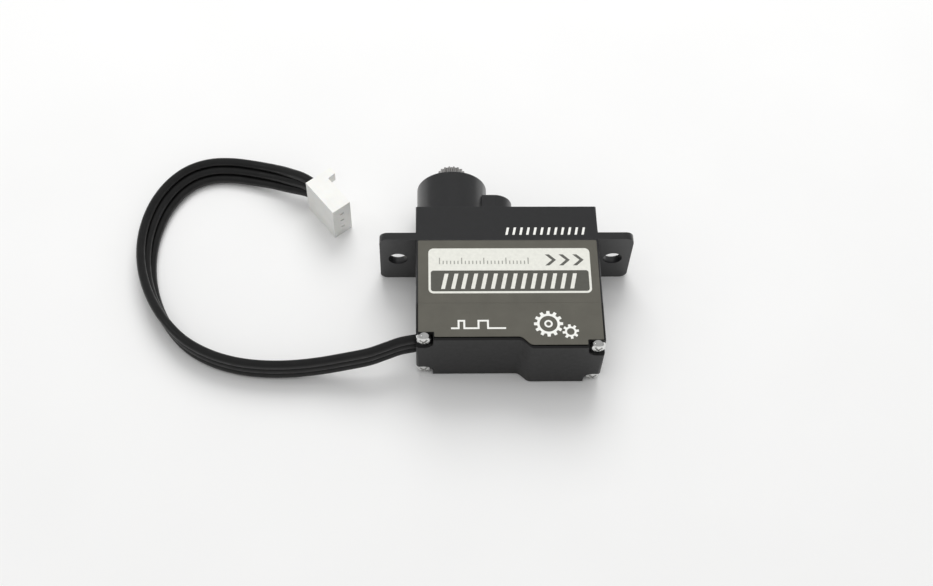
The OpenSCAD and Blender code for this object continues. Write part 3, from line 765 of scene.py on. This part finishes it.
def make_grommet():
    near = low("cable_grommet")
    far = high("cable_grommet")
    outline = rounded_box(near.y, far.y, near.z, far.z, 0.35)
    rings = [[(x, y, z) for y, z in outline] for x in (near.x, far.x)]
    body = new_object("grommet", skin(rings))
    soften(body, 0.08, 2)
    return piece(body, "cable_grommet_sleeve", materials["cable_black"], ["cable_grommet"])


make_bottom_case()
make_middle_case()
make_top_case()
make_grommet()


# ---- case screws --------------------------------------------------------

def screw_profile(seat, end):
    """Radii of a pan-head screw from its tip, through its thread, to the crown of its head."""
    pitch = 0.3
    skirt = 0.35
    profile = [(0.3, end), (0.42, end - 0.15)]
    y = end - 0.3
    while y > seat + 1:
        profile += [(0.5, y), (0.42, y - pitch / 2)]
        y -= pitch
    profile += [(0.5, seat + 0.8), (0.5, seat), (head_r, seat), (head_r, seat - skirt)]
    profile += [(head_r * math.cos(a), seat - skirt - (head_h - skirt) * math.sin(a))
                for a in (math.radians(t) for t in (15, 32, 50, 66, 80))]
    return profile


SLOT_SKEW = 9


def make_screw(number, side, z):
    seat = head_seat(side)
    x = side * screw_x
    body = lathe("screw", screw_profile(seat, y_seam + 2.5), x, z, 32)
    for turn in (45, 135):
        slot = block(-0.55, 0.55, seat - head_h - 0.2, seat - head_h + 0.3, -0.11, 0.11)
        spin = Matrix.Rotation(math.radians(turn + SLOT_SKEW * side), 4, "Y")
        slot.data.transform(Matrix.Translation((x, 0, z)) @ spin)
        cut(body, slot)
    soften(body, 0.03, 2, 50)
    piece(body, f"case_screw_{number}", materials["nickel_steel"], ["case_screws"])


screw_places = [(side, z) for side in (-1, 1) for z in screw_z]
for number, (side, z) in enumerate(screw_places, 1):
    make_screw(number, side, z)


# ---- sticker and its prints ---------------------------------------------

film_top = high("label").z - 0.012
PRINT = 0.004
PRINT_SUNK = 0.01
CREASE_HALF = 0.12


def make_label():
    sheet = prism("label", label_outline(), low("label").z, film_top, "Z")
    groove = [
        (y_joint - CREASE_HALF, film_top + 0.02), (y_joint, film_top - 0.03),
        (y_joint + CREASE_HALF, film_top + 0.02),
    ]
    cut(sheet, new_object("crease", skin([[(x, y, z) for y, z in groove] for x in (-half_w, half_w)])))
    return piece(sheet, "label_film_sheet", materials["label_film"], ["label"])


def stamp(name, outlines, material, level):
    """Flat prints on the sticker: each outline is a thin plate whose top is level above the film."""
    print_object = plates(name, outlines, film_top - PRINT_SUNK, film_top + level)
    return piece(print_object, name, material)


def stroke(points, width):
    """The outline of a line of one width that follows points, with square corners."""
    count = len(points)
    ahead = [(Vector(b) - Vector(a)).normalized() for a, b in zip(points, points[1:])]
    left, right = [], []
    for i, p in enumerate(points):
        before = ahead[max(0, i - 1)]
        after = ahead[min(i, count - 2)]
        normals = [Vector((-d.y, d.x)) for d in (before, after)]
        shift = (normals[0] + normals[1]) / (1 + normals[0].dot(normals[1])) * (width / 2)
        left.append(tuple(Vector(p) + shift))
        right.append(tuple(Vector(p) - shift))
    return left + right[::-1]


def slanted_bar(x, y0, y1, width, slant):
    return [(x, y0), (x + width, y0), (x + width + slant, y1), (x + slant, y1)]


FRAME_X = (-8.64, 8.89)
FRAME_Y = (-5.85, -0.21)
BAND_X = (-8.39, 8.64)
BAND_Y = (-5.6, -3.01)


def make_prints():
    border = rounded_box(*FRAME_X, *FRAME_Y, 0.55)
    plate = prism("frame", border, film_top - PRINT_SUNK, film_top + PRINT, "Z")
    cut(plate, prism("window", rounded_box(*BAND_X, *BAND_Y, 0.3), film_top - 1, film_top + 1, "Z"))
    piece(plate, "print_frame", print_light)
    stamp("print_band", [rounded_box(*BAND_X, *BAND_Y, 0.3)], print_band, PRINT / 2)
    bars = [slanted_bar(-7.3 + 1.065 * i, -5.3, -3.4, 0.42, 0.4) for i in range(14)]
    stamp("print_band_bars", bars, print_light, PRINT)
    ticks = []
    for i in range(25):
        x = -7.5 + i * 0.4
        tall = 0.8 if i % 6 == 0 else 0.42
        ticks.append([(x, -2.2), (x + 0.12, -2.2), (x + 0.12, -2.2 + tall), (x, -2.2 + tall)])
    stamp("print_scale_ticks", ticks, print_grey, 2 * PRINT)
    chevrons = []
    for i in range(3):
        x = 4.0 + 1.5 * i
        chevrons.append([
            (x, -2.4), (x + 0.45, -2.4), (x + 1.2, -1.7), (x + 0.45, -1.0), (x, -1.0), (x + 0.75, -1.7),
        ])
    stamp("print_chevrons", chevrons, print_dark, 2 * PRINT)
    pulse = [(-6.3, -10.1), (-5.5, -10.1), (-5.5, -9.2), (-4.9, -9.2), (-4.9, -10.1), (-3.4, -10.1),
             (-3.4, -9.2), (-2.4, -9.2), (-2.4, -10.1), (-0.5, -10.1)]
    stamp("print_pulse_line", [stroke(pulse, 0.2)], print_white, PRINT)


def gear_ring(name, x, y, teeth, r_tip, r_root, r_hole, phase):
    """A toothed ring icon."""
    outer = []
    pitch = 2 * math.pi / teeth
    for k in range(teeth):
        for share, r in ((-0.3, r_root), (-0.2, r_tip), (0.2, r_tip), (0.3, r_root)):
            a = phase + (k + share) * pitch
            outer.append((x + r * math.cos(a), y + r * math.sin(a)))
    plate = prism(name, outer, film_top - PRINT_SUNK, film_top + PRINT, "Z")
    cut(plate, prism("hole", arc(x, y, r_hole, 0, 360, 32)[:-1], film_top - 1, film_top + 1, "Z"))
    return plate


LARGE_ICON = (4.0, -9.6)
SMALL_ICON = (6.3, -10.55)


def make_gear_icon():
    large = gear_ring("large", *LARGE_ICON, 12, 1.55, 1.22, 0.95, 0)
    piece(large, "print_gear_large", print_white)
    hub = gear_ring("hub", *LARGE_ICON, 16, 0.46, 0.44, 0.25, 0)
    piece(hub, "print_gear_hub", print_white)
    small = gear_ring("small", *SMALL_ICON, 8, 0.88, 0.62, 0.4, math.radians(8))
    piece(small, "print_gear_small", print_white)


def make_case_marks():
    """A row of small white bars on the top case."""
    bars = [slanted_bar(-0.2 + 0.76 * i, 1.55, 2.5, 0.26, 0.2) for i in range(12)]
    marks = plates("marks", bars, case_t - PRINT_SUNK, case_t + PRINT)
    piece(marks, "print_case_bars", print_white)


make_label()
make_prints()
make_gear_icon()
make_case_marks()


# ---- CAD nodes that stay ------------------------------------------------

BEVELLED = {
    "output_shaft": 0.03, "bearing_outer_ring": 0.06, "bearing_inner_ring": 0.05, "first_gear": 0.015,
    "second_gear": 0.02, "third_gear": 0.02, "fourth_gear": 0.02, "motor_pinion": 0.015,
}


def dress_cad_nodes():
    """Gives every node that still shows its procedural material, and the metal ones a broken edge."""
    slots = {part["node"]: part["material_slot"] for part in frame["record"]["subparts"]}
    for name, node in frame["nodes"].items():
        if node.hide_render:
            continue
        node.data.materials.clear()
        node.data.materials.append(materials[slots[name]])
        if name in BEVELLED:
            weld = node.modifiers.new("weld", "WELD")
            weld.merge_threshold = 0.001 * MM
            bevel = node.modifiers.new("bevel", "BEVEL")
            bevel.width = BEVELLED[name] * MM
            bevel.segments = 2
            bevel.limit_method = "ANGLE"
            bevel.angle_limit = math.radians(40)
            normals = node.modifiers.new("normals", "WEIGHTED_NORMAL")
            normals.keep_sharp = True


dress_cad_nodes()


# ---- studio -------------------------------------------------------------

FLOOR_HALF = 1.5
WORLD_STRENGTH = 0.45


def make_floor():
    bm = bmesh.new()
    signs = ((-1, -1), (1, -1), (1, 1), (-1, 1))
    bm.faces.new([bm.verts.new((FLOOR_HALF * sx, FLOOR_HALF * sy, 0)) for sx, sy in signs])
    floor = new_object("floor", bm)
    paper = Finish("paper", (0.88, 0.88, 0.875), 0.7, specular=0.2)
    paper.mottle(0.01, 0.05).bump(0.004, 2)
    floor.data.materials.append(paper.material)


def make_light(name, place, aim, size, watts):
    data = bpy.data.lights.new(name, "AREA")
    data.shape = "DISK"
    data.size = size
    data.energy = watts
    lamp = bpy.data.objects.new(name, data)
    scene.collection.objects.link(lamp)
    lamp.location = place
    lamp.rotation_mode = "QUATERNION"
    lamp.rotation_quaternion = (Vector(aim) - Vector(place)).to_track_quat("-Z", "Y")
    return lamp


def make_world():
    world = bpy.data.worlds.new("studio")
    world.use_nodes = True
    background = world.node_tree.nodes["Background"]
    background.inputs["Color"].default_value = (1, 1, 1, 1)
    background.inputs["Strength"].default_value = WORLD_STRENGTH
    scene.world = world


make_floor()
key = make_light("key", (0.0, 0.25, 0.28), (-0.005, 0.02, 0), 0.26, 0.68)
fill = make_light("fill", (0.0, 0.1, 0.9), (0, 0, 0), 1.2, 3.4)
for soft in (key, fill):
    soft.visible_glossy = False
make_light("glint", (-0.3, 0.05, 0.35), (0, 0, 0), 0.05, 0.05)
make_world()
scene.view_settings.view_transform = "Standard"
scene.view_settings.look = "None"
